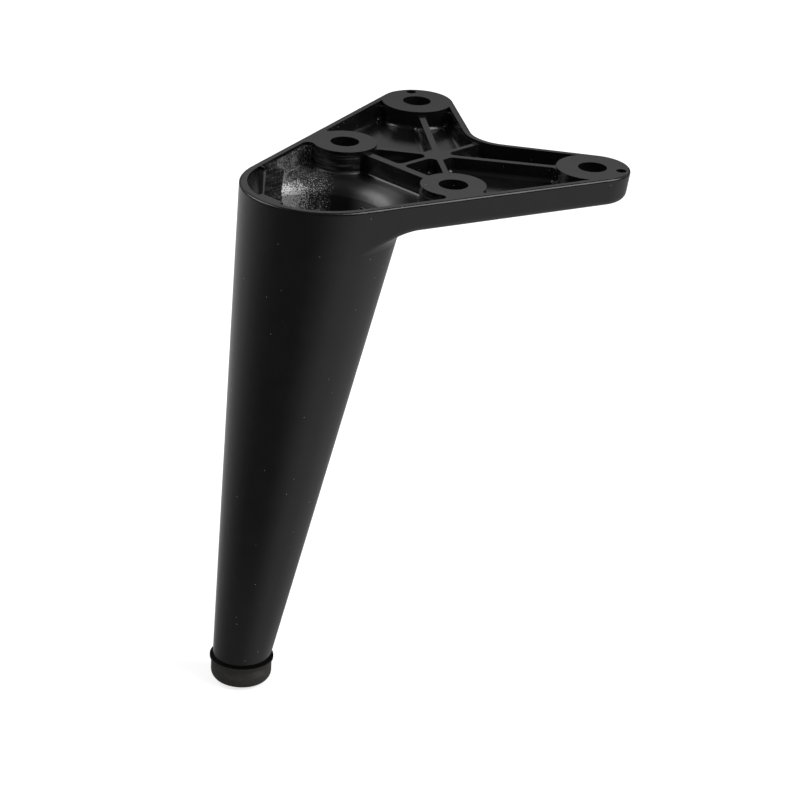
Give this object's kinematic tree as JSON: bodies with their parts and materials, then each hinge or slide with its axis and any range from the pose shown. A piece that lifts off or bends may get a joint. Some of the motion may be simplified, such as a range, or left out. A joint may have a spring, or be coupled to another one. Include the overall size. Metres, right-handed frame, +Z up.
{
  "type": "furniture leg",
  "caption": "Splayed tapered furniture leg cast in one piece with a ribbed, two-tabbed screw plate, and a press-in plastic glide under its open, hollow shank.",
  "frame": {"origin": "on the mounting plane, midway between the two near screw holes", "axes": "+Z up out of the mounting plane into the furniture; +X along the plate's line of symmetry, away from the leg and towards the notch; +Y across the plate"},
  "size_m": [0.1183, 0.0949, 0.15],
  "materials": {
    "coated_casting": "satin black powder coat on die-cast aluminium, thin and speckled inside the hollow",
    "glide": "matte dark grey-brown moulding"
  },
  "bodies": {
    "root": {"leg_casting": "coated_casting", "foot_glide": "glide"}
  },
  "joints": []
}
